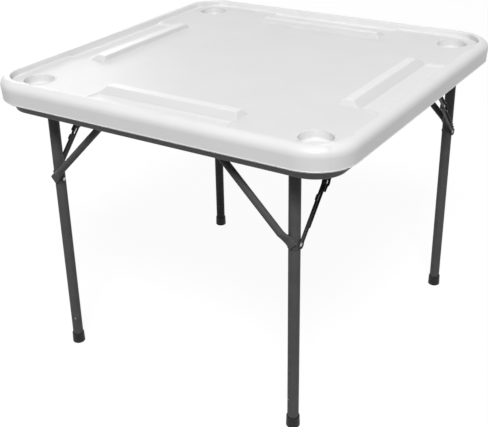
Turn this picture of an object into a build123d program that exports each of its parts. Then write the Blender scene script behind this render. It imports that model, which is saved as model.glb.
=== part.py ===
from build123d import *
import math
import os

# Folding card table: a blow-moulded top on a steel apron, two folding leg
# frames and four two-link lock braces.
# Millimetres. The origin is on the floor under the middle of the top, +Z up.
# The narrow leg frame stands at -Y and the wide one at +Y.

# Top
table_side = 890.0
table_height = 708.0
corner_radius = 95.0
rim_height = 52.5
rim_belt = 21.0
rim_round = 19.0
rim_band = 24.0
rim_rise = 14.5
inner_round = 3.5
lip_draft = 4.0
lip_round = 7.0
panel_thickness = 18.5

# Cup holders, one in each corner
cup_diameter = 70.0
cup_depth = 16.5
cup_inset = 65.3
cup_draft = 6.0
cup_edge_round = 3.0
cup_floor_round = 4.0

# Tile trays, one along each side: a floor that falls to the rim behind a moulded ridge
tray_length = 336.0
tray_reach = 71.0
tray_depth = 4.5
tray_end_run = 43.0
ridge_length = 344.0
ridge_width = 32.0
ridge_rise = 11.5
ridge_end_run = 18.0
ridge_play_run = 5.0
ridge_tray_run = 10.0
ridge_round = 5.5

# Apron, a roll-formed steel band under the lip
apron_inset = 28.0
apron_drop = 43.0
apron_wall = 1.6
apron_flange = 10.0
apron_hem = 6.0
apron_screw_spacing = 260.0

# Leg frames
tube_diameter = 25.4
tube_wall = 1.2
pivot_clearance = 2.3
leg_row_inset = 80.0
narrow_leg_inset = 129.0
wide_leg_inset = 85.0

# Diagonal braces, tubes with flattened ends on welded saddles
brace_diameter = 16.0
brace_wall = 1.2
brace_reach = 192.0
brace_gap = 0.6
saddle_wall = 1.5
saddle_half_angle = 60.0
saddle_length = 26.0
flat_width = 22.0
flat_thickness = 4.5
flat_overlap = 8.0
flat_run = 20.0

# Foot caps and tube plugs
cap_height = 27.0
cap_wall = 2.0
cap_floor = 4.0
cap_round = 2.0
cap_flare = 0.8
plug_head = 2.5
plug_depth = 12.0
plug_wall = 2.0
plug_round = 1.5

# Lock braces
lock_arm = 197.0
knee_lead = 1.5
strap_wall = 1.7
strap_depth = 5.4
strap_height = 13.0
strap_end_radius = 9.5
strap_blend = 6.0
ear_length = 48.0
ear_depth = 3.6
layer_gap = 0.4
grip_to_knee = 38.6
grip_width = 14.0
grip_rise = 4.0
grip_round = 3.0
window_to_knee = 20.6
window_length = 16.0
window_height = 6.0
window_round = 2.8
finger_length = 22.0
finger_height = 10.0
finger_round = 4.0
anchor_relief = 18.0

# Rivets
rivet_radius = 3.0
rivet_head_radius = 4.6
rivet_head = 1.7
rivet_round = 1.2
running_fit = 0.05

# Brackets under the top
bracket_plate = 2.0
bracket_ear = 2.5
bracket_spread = 20.0
bracket_ear_wall = 6.3
bracket_reach = 66.0
bracket_corner = 5.0
bracket_screw_reach = 56.0
bracket_screw_spread = 12.0
anchor_tongue = 2.4
anchor_gap = 0.2
anchor_radius = 9.0
anchor_length = 48.0
anchor_width = 14.0
anchor_screw_spread = 17.0

# Screws
screw_radius = 2.1
screw_head_radius = 4.1
screw_length = 12.0
pan_head = 2.2

# Gap round seated and passing pieces, and the overrun of cuts
seat_gap = 0.5
cut_over = 5.0

# Heights and sides worked out from the sizes above
play_height = table_height - rim_rise
underside = play_height - panel_thickness
lip_bottom = table_height - rim_height
belt_height = table_height - rim_belt
field_side = table_side - 2 * rim_band
field_radius = corner_radius - rim_band
apron_side = table_side - 2 * apron_inset
apron_radius = corner_radius - apron_inset
apron_bottom = underside - apron_drop
bracket_bottom = underside - bracket_plate
cup_pitch = field_side - 2 * cup_inset
tube_radius = tube_diameter / 2
pivot_height = bracket_bottom - pivot_clearance - tube_radius
lock_rivet_height = pivot_height - lock_arm
brace_height = pivot_height - brace_reach
bracket_ear_radius = tube_radius + bracket_ear_wall
leg_row_offset = table_side / 2 - leg_row_inset
narrow_leg_offset = table_side / 2 - narrow_leg_inset
wide_leg_offset = table_side / 2 - wide_leg_inset
brace_radius = brace_diameter / 2
cup_radius = cup_diameter / 2

# The lock brace is a kite: pivot, leg rivet, knee and anchor, with equal arms
lock_slope = math.degrees(math.atan2(lock_arm, lock_arm))
link_length = math.hypot(lock_arm, lock_arm) / 2 / math.cos(math.radians(knee_lead))
lower_slope = math.radians(lock_slope + knee_lead)
upper_slope = math.radians(lock_slope - knee_lead)
lower_line = Vector(0, math.cos(lower_slope), math.sin(lower_slope))
upper_line = Vector(0, math.cos(upper_slope), math.sin(upper_slope))

# Layers of the lock brace, counted outward along X from the leg's axis
lower_layer = tube_radius + seat_gap
upper_layer = lower_layer + strap_depth + layer_gap
anchor_layer = upper_layer + strap_wall + anchor_gap

# Each corner: name, X side, Y side and how far its leg stands from the middle
corners = [
    ("narrow_left", -1, -1, narrow_leg_offset),
    ("narrow_right", 1, -1, narrow_leg_offset),
    ("wide_left", -1, 1, wide_leg_offset),
    ("wide_right", 1, 1, wide_leg_offset),
]


def screw_places_brackets():
    """Places of the countersunk screws that hold the pivot brackets and lock anchors."""
    places = []
    for name, side_x, side_y, leg_offset in corners:
        anchor_x = side_x * (leg_offset + anchor_layer + anchor_tongue / 2)
        for step in (-1, 1):
            x = side_x * (leg_offset + step * bracket_screw_spread)
            places.append((x, side_y * (leg_row_offset - bracket_screw_reach)))
            places.append((anchor_x, side_y * (leg_row_offset - lock_arm + step * anchor_screw_spread)))
    return places


def screw_places_apron():
    """Places of the pan-head screws through the apron's top flange."""
    line = apron_side / 2 - apron_wall - apron_flange / 2
    places = []
    for step in (-1, 0, 1):
        for side in (-1, 1):
            places.append((side * line, step * apron_screw_spacing))
            places.append((step * apron_screw_spacing, side * line))
    return places


def to_corner(side_x, side_y):
    """Mirror a piece made at the +X, -Y corner to its own corner."""
    if side_x < 0:
        mirror(about=Plane.YZ, mode=Mode.REPLACE)
    if side_y > 0:
        mirror(about=Plane.XZ, mode=Mode.REPLACE)


def strap_outline(inset):
    """A strap from pin to pin with a round eye at each, drawn smaller all round by the inset."""
    with Locations((link_length / 2, 0)):
        Rectangle(link_length, strap_height - 2 * inset)
    with Locations((0, 0), (link_length, 0)):
        Circle(strap_end_radius - inset)


def finger_outline(inset):
    """The finger past the knee of an upper link."""
    with Locations(((inset - finger_length) / 2, 0)):
        RectangleRounded(finger_length - inset, finger_height - 2 * inset, finger_round - inset)


def across_pins(leg_offset, layer, y, z, line=(0, 1, 0)):
    """A plane across the lock's pins at one layer, with its X along a link."""
    return Plane(origin=(leg_offset + layer, y, z), x_dir=line, z_dir=(1, 0, 0))


os.makedirs("parts", exist_ok=True)

# Tray ridge, steep on the playing side and drafted toward the tray and at both ends
with BuildPart() as tray_ridge:
    ridge_middle = field_side / 2 - tray_reach - ridge_width / 2
    ridge_lean = (ridge_tray_run - ridge_play_run) / 2
    with BuildSketch(Plane.XY.offset(play_height)):
        with Locations((0, -ridge_middle)):
            Rectangle(ridge_length, ridge_width)
    with BuildSketch(Plane.XY.offset(play_height + ridge_rise)):
        with Locations((0, ridge_lean - ridge_middle)):
            Rectangle(ridge_length - 2 * ridge_end_run, ridge_width - ridge_play_run - ridge_tray_run)
    loft(ruled=True)
    fillet(tray_ridge.edges() - tray_ridge.edges().group_by(Axis.Z)[0], radius=ridge_round)

# Table top: a drafted slab with a rounded rim round a sunk playing field
with BuildPart() as tabletop:
    with BuildSketch(Plane.XY.offset(belt_height)):
        RectangleRounded(table_side, table_side, corner_radius)
    extrude(amount=rim_belt)
    fillet(tabletop.edges().group_by(Axis.Z)[-1], radius=rim_round)
    with BuildSketch(Plane.XY.offset(belt_height)):
        RectangleRounded(table_side, table_side, corner_radius)
    extrude(amount=belt_height - lip_bottom, dir=(0, 0, -1), taper=lip_draft)
    fillet(tabletop.edges().group_by(Axis.Z)[0], radius=lip_round)

    # Playing field, sunk inside the rim's rounded inner edge
    with BuildSketch(Plane.XY.offset(play_height)):
        RectangleRounded(field_side, field_side, field_radius)
    extrude(amount=rim_rise + cut_over, mode=Mode.SUBTRACT)
    fillet(tabletop.edges(Select.LAST).group_by(Axis.Z)[-1], radius=inner_round)

    # Hollow under the top, where the apron stands inside the lip
    with BuildSketch(Plane.XY.offset(lip_bottom - cut_over)):
        RectangleRounded(apron_side + 2 * seat_gap, apron_side + 2 * seat_gap, apron_radius + seat_gap)
    extrude(amount=underside - lip_bottom + cut_over, mode=Mode.SUBTRACT)

    # Ridge along each tray
    for side in range(4):
        add(tray_ridge.part, rotation=(0, 0, 90 * side))

    # Tray floors, level with the field at the ridge and deepest at the rim, with sloped ends
    for side in range(4):
        toward_rim = Plane(Rot(0, 0, 90 * side) * Plane.XZ.offset(field_side / 2 - tray_reach).location)
        half = tray_length / 2
        with BuildSketch(toward_rim):
            with BuildLine():
                Polyline((-half, play_height + cut_over), (half, play_height + cut_over), (half, play_height),
                         (half - seat_gap, play_height), (seat_gap - half, play_height), (-half, play_height),
                         close=True)
            make_face()
        with BuildSketch(toward_rim.offset(tray_reach)):
            with BuildLine():
                Polyline((-half, play_height + cut_over), (half, play_height + cut_over), (half, play_height),
                         (half - tray_end_run, play_height - tray_depth),
                         (tray_end_run - half, play_height - tray_depth), (-half, play_height),
                         close=True)
            make_face()
        loft(ruled=True, mode=Mode.SUBTRACT)

    # Cup holders
    with BuildSketch(Plane.XY.offset(play_height)):
        with GridLocations(cup_pitch, cup_pitch, 2, 2):
            Circle(cup_radius)
    extrude(amount=-cup_depth, taper=cup_draft, mode=Mode.SUBTRACT)
    cup_edges = tabletop.edges(Select.LAST).filter_by(GeomType.CIRCLE)
    fillet(cup_edges.group_by(Axis.Z)[0], radius=cup_floor_round)
    fillet(cup_edges.group_by(Axis.Z)[-1], radius=cup_edge_round)

    # Pilot holes for the screws
    with BuildSketch(Plane.XY.offset(underside)):
        with Locations(*screw_places_brackets(), *screw_places_apron()):
            Circle(screw_radius + running_fit)
    extrude(amount=screw_length, mode=Mode.SUBTRACT)
tabletop.part.label = "tabletop"
export_step(tabletop.part, "parts/tabletop.step")

# Apron: a steel band with a top flange for screws and a hem below
with BuildPart() as apron:
    with BuildSketch(Plane.XY.offset(apron_bottom)):
        RectangleRounded(apron_side, apron_side, apron_radius)
    extrude(amount=apron_drop)
    wall_side = apron_side - 2 * apron_wall
    wall_radius = apron_radius - apron_wall
    with BuildSketch(Plane.XY.offset(apron_bottom + apron_wall)):
        RectangleRounded(wall_side, wall_side, wall_radius)
    extrude(amount=apron_drop - 2 * apron_wall, mode=Mode.SUBTRACT)
    with BuildSketch(Plane.XY.offset(apron_bottom + apron_drop / 2)):
        RectangleRounded(wall_side - 2 * apron_flange, wall_side - 2 * apron_flange, wall_radius - apron_flange)
    extrude(amount=apron_drop, mode=Mode.SUBTRACT)
    with BuildSketch(Plane.XY.offset(apron_bottom + apron_drop / 2)):
        RectangleRounded(wall_side - 2 * apron_hem, wall_side - 2 * apron_hem, wall_radius - apron_hem)
    extrude(amount=-apron_drop, mode=Mode.SUBTRACT)
    fillet(apron.edges().group_by(Axis.Z)[0].group_by(SortBy.LENGTH)[-1], radius=apron_wall / 2)
    with BuildSketch(Plane.XY.offset(underside)):
        with Locations(*screw_places_apron()):
            Circle(screw_radius + running_fit)
    extrude(amount=-2 * apron_wall, mode=Mode.SUBTRACT)
apron.part.label = "apron"
export_step(apron.part, "parts/apron.step")

# Apron screws: pan heads under the flange
with BuildPart() as apron_screws:
    with BuildSketch(Plane.XY.offset(underside - apron_wall)):
        with Locations(*screw_places_apron()):
            Circle(screw_head_radius)
    extrude(amount=-pan_head)
    fillet(apron_screws.edges().group_by(Axis.Z)[0], radius=pan_head / 2)
    with BuildSketch(Plane.XY.offset(underside - apron_wall)):
        with Locations(*screw_places_apron()):
            Circle(screw_radius)
    extrude(amount=screw_length)
apron_screws.part.label = "apron_screws"
export_step(apron_screws.part, "parts/apron_screws.step")

# Bracket screws: countersunk heads flush with the plates
with BuildPart() as bracket_screws:
    with BuildSketch(Plane.XY.offset(bracket_bottom)):
        with Locations(*screw_places_brackets()):
            Circle(screw_radius)
    extrude(amount=screw_length)
    with Locations(*[(x, y, bracket_bottom + bracket_plate / 2) for x, y in screw_places_brackets()]):
        Cone(screw_head_radius, screw_radius, bracket_plate)
bracket_screws.part.label = "bracket_screws"
export_step(bracket_screws.part, "parts/bracket_screws.step")

# Cross tubes: each leg frame turns about the axis of its own
for name, side_y, leg_offset in (("narrow", -1, narrow_leg_offset), ("wide", 1, wide_leg_offset)):
    with BuildPart() as cross_tube:
        with BuildSketch(Plane.YZ):
            with Locations((side_y * leg_row_offset, pivot_height)):
                Circle(tube_radius)
                Circle(tube_radius - tube_wall, mode=Mode.SUBTRACT)
        extrude(amount=leg_offset + bracket_spread + bracket_ear + plug_head, both=True)
    cross_tube.part.label = f"{name}_cross_tube"
    export_step(cross_tube.part, f"parts/{name}_cross_tube.step")

# The pieces of each corner are made at +X, -Y and mirrored to their places
row = -leg_row_offset
anchor_y = row + lock_arm

for name, side_x, side_y, leg_offset in corners:
    tube_end = leg_offset + bracket_spread + bracket_ear + plug_head

    # Pivot bracket: a plate under the top with two ears round the cross tube
    with BuildPart() as pivot_bracket:
        bracket_width = 2 * bracket_spread + bracket_ear
        bracket_start = row - bracket_ear_radius
        with BuildSketch(Plane.XY.offset(bracket_bottom)):
            with Locations((leg_offset, (bracket_start + row + bracket_reach) / 2)):
                RectangleRounded(bracket_width, bracket_ear_radius + bracket_reach, bracket_corner)
        extrude(amount=bracket_plate)
        for step in (-1, 1):
            ear_x = leg_offset + step * bracket_spread - bracket_ear / 2
            with BuildSketch(Plane.YZ.offset(ear_x)):
                with Locations((row, pivot_height)):
                    Circle(bracket_ear_radius)
                with Locations((row, underside + bracket_ear_radius)):
                    Rectangle(2 * bracket_ear_radius, 2 * bracket_ear_radius, mode=Mode.SUBTRACT)
            extrude(amount=bracket_ear)
        with BuildSketch(Plane.YZ):
            with Locations((row, pivot_height)):
                Circle(tube_radius + running_fit)
        extrude(amount=table_side, mode=Mode.SUBTRACT)
        for step in (-1, 1):
            screw_x = leg_offset + step * bracket_screw_spread
            with Locations((screw_x, row + bracket_screw_reach, bracket_bottom + bracket_plate / 2)):
                Cone(screw_head_radius + running_fit, screw_radius + running_fit, bracket_plate,
                     mode=Mode.SUBTRACT)
        to_corner(side_x, side_y)
    pivot_bracket.part.label = f"{name}_pivot_bracket"
    export_step(pivot_bracket.part, f"parts/{name}_pivot_bracket.step")

    # Lock anchor: a T of plate, screwed under the top, with a tongue for the upper link
    with BuildPart() as lock_anchor:
        anchor_x = leg_offset + anchor_layer + anchor_tongue / 2
        with BuildSketch(Plane.XY.offset(bracket_bottom)):
            with Locations((anchor_x, anchor_y)):
                RectangleRounded(anchor_width, anchor_length, bracket_corner)
        extrude(amount=bracket_plate)
        with BuildSketch(across_pins(leg_offset, anchor_layer, anchor_y, pivot_height)):
            Circle(anchor_radius)
            with Locations((0, (bracket_bottom - pivot_height) / 2)):
                Rectangle(2 * anchor_radius, bracket_bottom - pivot_height)
            Circle(rivet_radius + running_fit, mode=Mode.SUBTRACT)
        extrude(amount=anchor_tongue)
        for step in (-1, 1):
            screw_y = anchor_y + step * anchor_screw_spread
            with Locations((anchor_x, screw_y, bracket_bottom + bracket_plate / 2)):
                Cone(screw_head_radius + running_fit, screw_radius + running_fit, bracket_plate,
                     mode=Mode.SUBTRACT)
        to_corner(side_x, side_y)
    lock_anchor.part.label = f"{name}_lock_anchor"
    export_step(lock_anchor.part, f"parts/{name}_lock_anchor.step")

    # Leg tube: coped under the cross tube, standing in its foot cap
    with BuildPart() as leg_tube:
        with BuildSketch(Plane.XY.offset(cap_floor)):
            with Locations((leg_offset, row)):
                Circle(tube_radius)
                Circle(tube_radius - tube_wall, mode=Mode.SUBTRACT)
        extrude(amount=pivot_height - 2 * tube_wall - cap_floor)
        with BuildSketch(Plane.YZ):
            with Locations((row, pivot_height)):
                Circle(tube_radius)
            with Locations((row, lock_rivet_height)):
                Circle(rivet_radius + running_fit)
        extrude(amount=table_side, mode=Mode.SUBTRACT)
        to_corner(side_x, side_y)
    leg_tube.part.label = f"{name}_leg_tube"
    export_step(leg_tube.part, f"parts/{name}_leg_tube.step")

    # Diagonal brace: a tube whose flattened ends lie on saddles round leg and cross tube
    with BuildPart() as diagonal_brace:
        brace_line = Vector(-1, 0, 1).normalized()
        brace_length = math.hypot(pivot_height - brace_height, pivot_height - brace_height)
        brace_row = row - tube_radius - brace_radius - brace_gap
        flat_row = row - tube_radius - saddle_wall - flat_thickness / 4
        foot = Vector(leg_offset, brace_row, brace_height)
        flat_foot = Vector(leg_offset, flat_row, brace_height)
        with BuildSketch(Plane.XY.offset(brace_height - saddle_length / 2)):
            with BuildLine():
                start = 270 - saddle_half_angle
                inner = CenterArc((leg_offset, row), tube_radius, start, 2 * saddle_half_angle)
                outer = CenterArc((leg_offset, row), tube_radius + saddle_wall, start, 2 * saddle_half_angle)
                Line(inner @ 0, outer @ 0)
                Line(inner @ 1, outer @ 1)
            make_face()
        extrude(amount=saddle_length)
        with BuildSketch(Plane(origin=flat_foot - brace_line * flat_overlap, x_dir=(0, 1, 0), z_dir=brace_line)):
            Ellipse(flat_thickness / 2, flat_width / 2)
        extrude(amount=2 * flat_overlap)
        with BuildSketch(Plane(origin=flat_foot + brace_line * flat_overlap, x_dir=(0, 1, 0), z_dir=brace_line)):
            Ellipse(flat_thickness / 2, flat_width / 2)
        with BuildSketch(Plane(origin=foot + brace_line * (flat_overlap + flat_run), x_dir=(0, 1, 0),
                               z_dir=brace_line)):
            Circle(brace_radius)
        loft()
        mirror(about=Plane(origin=foot + brace_line * brace_length / 2, x_dir=(0, 1, 0), z_dir=brace_line))
        with BuildSketch(Plane(origin=foot + brace_line * (flat_overlap + flat_run), x_dir=(0, 1, 0),
                               z_dir=brace_line)):
            Circle(brace_radius)
            Circle(brace_radius - brace_wall, mode=Mode.SUBTRACT)
        extrude(amount=brace_length - 2 * (flat_overlap + flat_run))
        to_corner(side_x, side_y)
    diagonal_brace.part.label = f"{name}_diagonal_brace"
    export_step(diagonal_brace.part, f"parts/{name}_diagonal_brace.step")

    # Foot cap: a moulded cup, a little wider at the floor
    with BuildPart() as foot_cap:
        cap_radius = tube_radius + running_fit + cap_wall
        with BuildSketch():
            with Locations((leg_offset, row)):
                Circle(cap_radius + cap_flare)
        with BuildSketch(Plane.XY.offset(cap_height)):
            with Locations((leg_offset, row)):
                Circle(cap_radius)
        loft()
        fillet(foot_cap.edges().group_by(Axis.Z)[0], radius=cap_round)
        fillet(foot_cap.edges().group_by(Axis.Z)[-1], radius=cap_wall / 2)
        with BuildSketch(Plane.XY.offset(cap_floor)):
            with Locations((leg_offset, row)):
                Circle(tube_radius + running_fit)
        extrude(amount=cap_height, mode=Mode.SUBTRACT)
        to_corner(side_x, side_y)
    foot_cap.part.label = f"{name}_foot_cap"
    export_step(foot_cap.part, f"parts/{name}_foot_cap.step")

    # Tube plug: closes the end of the cross tube
    with BuildPart() as tube_plug:
        with BuildSketch(Plane.YZ.offset(tube_end)):
            with Locations((row, pivot_height)):
                Circle(tube_radius)
        extrude(amount=plug_head)
        fillet(tube_plug.edges().group_by(Axis.X)[-1], radius=plug_round)
        with BuildSketch(Plane.YZ.offset(tube_end)):
            with Locations((row, pivot_height)):
                Circle(tube_radius - tube_wall - running_fit)
                Circle(tube_radius - tube_wall - running_fit - plug_wall, mode=Mode.SUBTRACT)
        extrude(amount=-plug_depth)
        to_corner(side_x, side_y)
    tube_plug.part.label = f"{name}_tube_plug"
    export_step(tube_plug.part, f"parts/{name}_tube_plug.step")

    # Lower lock link: a pressed channel with its web against the leg
    with BuildPart() as lower_link:
        lower_plane = across_pins(leg_offset, lower_layer, row, lock_rivet_height, lower_line)
        with BuildSketch(lower_plane):
            strap_outline(0)
            fillet(vertices().group_by(Axis.Y)[0] + vertices().group_by(Axis.Y)[-1], radius=strap_blend)
            with Locations((link_length - grip_to_knee, (strap_height + grip_rise) / 2 - grip_round)):
                RectangleRounded(grip_width, grip_rise + 2 * grip_round, grip_round)
        extrude(amount=strap_depth)
        with BuildSketch(lower_plane.offset(strap_wall)):
            strap_outline(strap_wall)
        extrude(amount=strap_depth, mode=Mode.SUBTRACT)
        with BuildSketch(lower_plane.offset(ear_depth)):
            with Locations((ear_length / 2 - strap_end_radius, 0)):
                Rectangle(ear_length, 2 * strap_end_radius)
        extrude(amount=strap_depth, mode=Mode.SUBTRACT)
        with BuildSketch(lower_plane):
            with Locations((0, 0), (link_length, 0)):
                Circle(rivet_radius + running_fit)
            with Locations((link_length - window_to_knee, 0)):
                RectangleRounded(window_length, window_height, window_round)
        extrude(amount=strap_depth, mode=Mode.SUBTRACT)
        to_corner(side_x, side_y)
    lower_link.part.label = f"{name}_lower_link"
    export_step(lower_link.part, f"parts/{name}_lower_link.step")

    # Upper lock link: a channel with a finger past the knee and a plain eye at the anchor
    with BuildPart() as upper_link:
        knee_y = anchor_y - link_length * upper_line.Y
        knee_z = pivot_height - link_length * upper_line.Z
        upper_plane = across_pins(leg_offset, upper_layer, knee_y, knee_z, upper_line)
        with BuildSketch(upper_plane):
            strap_outline(0)
            fillet(vertices().group_by(Axis.Y)[0] + vertices().group_by(Axis.Y)[-1], radius=strap_blend)
            finger_outline(0)
        extrude(amount=strap_depth)
        with BuildSketch(upper_plane.offset(strap_wall)):
            strap_outline(strap_wall)
            finger_outline(strap_wall)
            with Locations((link_length, 0)):
                Rectangle(2 * anchor_relief, 2 * anchor_relief)
        extrude(amount=strap_depth, mode=Mode.SUBTRACT)
        with BuildSketch(upper_plane):
            with Locations((0, 0), (link_length, 0)):
                Circle(rivet_radius + running_fit)
        extrude(amount=strap_depth, mode=Mode.SUBTRACT)
        to_corner(side_x, side_y)
    upper_link.part.label = f"{name}_upper_link"
    export_step(upper_link.part, f"parts/{name}_upper_link.step")

    # Leg rivet: right through the leg and the lower link's web
    with BuildPart() as leg_rivet:
        with BuildSketch(across_pins(leg_offset, -tube_radius, row, lock_rivet_height)):
            Circle(rivet_radius)
        extrude(amount=tube_radius + lower_layer + strap_wall + running_fit)
        with BuildSketch(across_pins(leg_offset, -tube_radius, row, lock_rivet_height)):
            Circle(rivet_head_radius)
        extrude(amount=-rivet_head)
        with BuildSketch(across_pins(leg_offset, lower_layer + strap_wall + running_fit, row, lock_rivet_height)):
            Circle(rivet_head_radius)
        extrude(amount=rivet_head)
        fillet(leg_rivet.edges().group_by(Axis.X)[0] + leg_rivet.edges().group_by(Axis.X)[-1],
               radius=rivet_round)
        to_corner(side_x, side_y)
    leg_rivet.part.label = f"{name}_leg_rivet"
    export_step(leg_rivet.part, f"parts/{name}_leg_rivet.step")

    # Knee rivet: flush in the lower link's web, with a shoulder that spaces the links
    with BuildPart() as knee_rivet:
        with BuildSketch(across_pins(leg_offset, lower_layer, knee_y, knee_z)):
            Circle(rivet_radius)
        extrude(amount=strap_depth)
        with BuildSketch(across_pins(leg_offset, lower_layer + strap_wall, knee_y, knee_z)):
            Circle(rivet_head_radius)
        extrude(amount=strap_depth - strap_wall)
        to_corner(side_x, side_y)
    knee_rivet.part.label = f"{name}_knee_rivet"
    export_step(knee_rivet.part, f"parts/{name}_knee_rivet.step")

    # Head of the knee rivet, closed on the upper link's web
    with BuildPart() as knee_rivet_head:
        with BuildSketch(across_pins(leg_offset, upper_layer, knee_y, knee_z)):
            Circle(rivet_radius)
        extrude(amount=strap_wall)
        with BuildSketch(across_pins(leg_offset, upper_layer + strap_wall, knee_y, knee_z)):
            Circle(rivet_head_radius)
        extrude(amount=rivet_head)
        fillet(knee_rivet_head.edges().group_by(Axis.X)[-1], radius=rivet_round)
        to_corner(side_x, side_y)
    knee_rivet_head.part.label = f"{name}_knee_rivet_head"
    export_step(knee_rivet_head.part, f"parts/{name}_knee_rivet_head.step")

    # Anchor rivet: flush in the upper link's web, headed outside the tongue
    with BuildPart() as anchor_rivet:
        with BuildSketch(across_pins(leg_offset, upper_layer, anchor_y, pivot_height)):
            Circle(rivet_radius)
        extrude(amount=strap_wall + anchor_gap + anchor_tongue)
        with BuildSketch(across_pins(leg_offset, anchor_layer + anchor_tongue, anchor_y, pivot_height)):
            Circle(rivet_head_radius)
        extrude(amount=rivet_head)
        fillet(anchor_rivet.edges().group_by(Axis.X)[-1], radius=rivet_round)
        to_corner(side_x, side_y)
    anchor_rivet.part.label = f"{name}_anchor_rivet"
    export_step(anchor_rivet.part, f"parts/{name}_anchor_rivet.step")
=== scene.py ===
import math

import bmesh
import bpy
from mathutils import Matrix, Vector
from mathutils.geometry import delaunay_2d_cdt


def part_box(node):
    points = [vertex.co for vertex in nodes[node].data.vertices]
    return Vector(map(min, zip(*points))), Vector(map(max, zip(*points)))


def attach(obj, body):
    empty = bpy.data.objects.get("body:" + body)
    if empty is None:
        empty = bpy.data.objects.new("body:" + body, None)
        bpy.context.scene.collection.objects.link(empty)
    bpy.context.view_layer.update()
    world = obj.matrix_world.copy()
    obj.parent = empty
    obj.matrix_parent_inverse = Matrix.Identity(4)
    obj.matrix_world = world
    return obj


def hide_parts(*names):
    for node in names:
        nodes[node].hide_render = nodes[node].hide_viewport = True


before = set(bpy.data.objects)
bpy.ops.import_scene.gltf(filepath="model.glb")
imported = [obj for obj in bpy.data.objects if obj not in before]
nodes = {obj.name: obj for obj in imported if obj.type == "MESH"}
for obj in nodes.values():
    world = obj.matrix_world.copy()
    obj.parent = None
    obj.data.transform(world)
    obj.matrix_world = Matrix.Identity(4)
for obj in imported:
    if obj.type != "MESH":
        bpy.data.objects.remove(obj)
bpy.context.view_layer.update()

# The camera stands to the right of the near corner and looks down on the table by about 26 degrees. Its
# values were fitted to the photo, in the photo's pixels. The table is on a pale studio floor under one large
# soft light in front, with a weak fill from behind.
photo_width = 488.0
photo_height = 427.0
focal_pixels = 891.22
middle_across = 232.08
middle_down = 197.95
sensor_span = 36.0
view_turn = math.radians(33.51)
view_dip = math.radians(25.77)
view_roll = math.radians(-1.46)
camera_place = (1.08079, -1.74258, 1.32283)
look = Vector((-math.sin(view_turn) * math.cos(view_dip), math.cos(view_turn) * math.cos(view_dip),
               -math.sin(view_dip)))
level_right = Vector((math.cos(view_turn), math.sin(view_turn), 0.0))
level_up = level_right.cross(look)
frame_right = level_right * math.cos(view_roll) + level_up * math.sin(view_roll)
frame_up = level_up * math.cos(view_roll) - level_right * math.sin(view_roll)
camera_lens = bpy.data.cameras.new("photo_camera")
camera_lens.sensor_fit = "HORIZONTAL"
camera_lens.sensor_width = sensor_span
camera_lens.lens = focal_pixels * sensor_span / photo_width
camera_lens.shift_x = (photo_width / 2 - middle_across) / photo_width
camera_lens.shift_y = (middle_down - photo_height / 2) / photo_width
camera_lens.clip_end = 60.0
camera = bpy.data.objects.new("photo_camera", camera_lens)
turned = Matrix((frame_right, frame_up, -look)).transposed().to_4x4()
camera.matrix_world = Matrix.Translation(camera_place) @ turned
bpy.context.scene.collection.objects.link(camera)
bpy.context.scene.camera = camera
bpy.context.scene.view_settings.view_transform = "Standard"
light_aim = Vector((0.0, 0.0, 0.6))


def soft_light(name, place, side, watts):
    """A square soft light that faces the table."""
    lamp = bpy.data.lights.new(name, "AREA")
    lamp.shape = "RECTANGLE"
    lamp.size = side
    lamp.size_y = side
    lamp.energy = watts
    holder = bpy.data.objects.new(name, lamp)
    turn = (light_aim - Vector(place)).to_track_quat("-Z", "Y")
    holder.matrix_world = Matrix.Translation(place) @ turn.to_matrix().to_4x4()
    bpy.context.scene.collection.objects.link(holder)


soft_light("key_light", (2.97, -5.04, 7.44), side=2.2, watts=705.0)
soft_light("back_fill", (-4.4, 3.2, 1.7), side=2.0, watts=46.0)


def even_grey(tone):
    return (tone, tone, tone, 1.0)


def maths(tree, operation, first, second):
    """One operation on two values, each a socket or a number."""
    step = tree.nodes.new("ShaderNodeMath")
    step.operation = operation
    for socket, value in zip(step.inputs, (first, second)):
        if isinstance(value, (int, float)):
            socket.default_value = value
        else:
            tree.links.new(value, socket)
    return step.outputs[0]


def spread(tree, value, given, wanted):
    """A value carried from one range to another, and held at its ends."""
    change = tree.nodes.new("ShaderNodeMapRange")
    change.inputs["From Min"].default_value = given[0]
    change.inputs["From Max"].default_value = given[1]
    change.inputs["To Min"].default_value = wanted[0]
    change.inputs["To Max"].default_value = wanted[1]
    tree.links.new(value, change.inputs["Value"])
    return change.outputs["Result"]


def split_by_ray(tree, unseen, seen, surface):
    """One shader for the light that a surface throws, and another for how it looks and is reflected."""
    rays = tree.nodes.new("ShaderNodeLightPath")
    direct = maths(tree, "MAXIMUM", rays.outputs["Is Camera Ray"], rays.outputs["Is Glossy Ray"])
    direct = maths(tree, "MAXIMUM", direct, rays.outputs["Is Transmission Ray"])
    mix = tree.nodes.new("ShaderNodeMixShader")
    tree.links.new(direct, mix.inputs["Fac"])
    tree.links.new(unseen, mix.inputs[1])
    tree.links.new(seen, mix.inputs[2])
    tree.links.new(mix.outputs[0], surface)


# The camera sees a white room, and reflections see one that is darker in front than behind
room_light = 0.2
room_back = (-0.55, 0.83, 0.0)
front_wall = 0.25
back_wall = 1.0
wall_turn = (-0.1, 0.6)
room = bpy.data.worlds.new("studio_room")
room.use_nodes = True
bpy.context.scene.world = room
room_tree = room.node_tree
room_tree.nodes.clear()
room_out = room_tree.nodes.new("ShaderNodeOutputWorld")
room_dim = room_tree.nodes.new("ShaderNodeBackground")
room_dim.inputs["Color"].default_value = even_grey(room_light)
room_white = room_tree.nodes.new("ShaderNodeBackground")
room_way = room_tree.nodes.new("ShaderNodeTexCoord")
room_depth = room_tree.nodes.new("ShaderNodeVectorMath")
room_depth.operation = "DOT_PRODUCT"
room_depth.inputs[1].default_value = room_back
room_tree.links.new(room_way.outputs["Generated"], room_depth.inputs[0])
room_wall = spread(room_tree, room_depth.outputs["Value"], wall_turn, (front_wall, back_wall))
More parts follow.
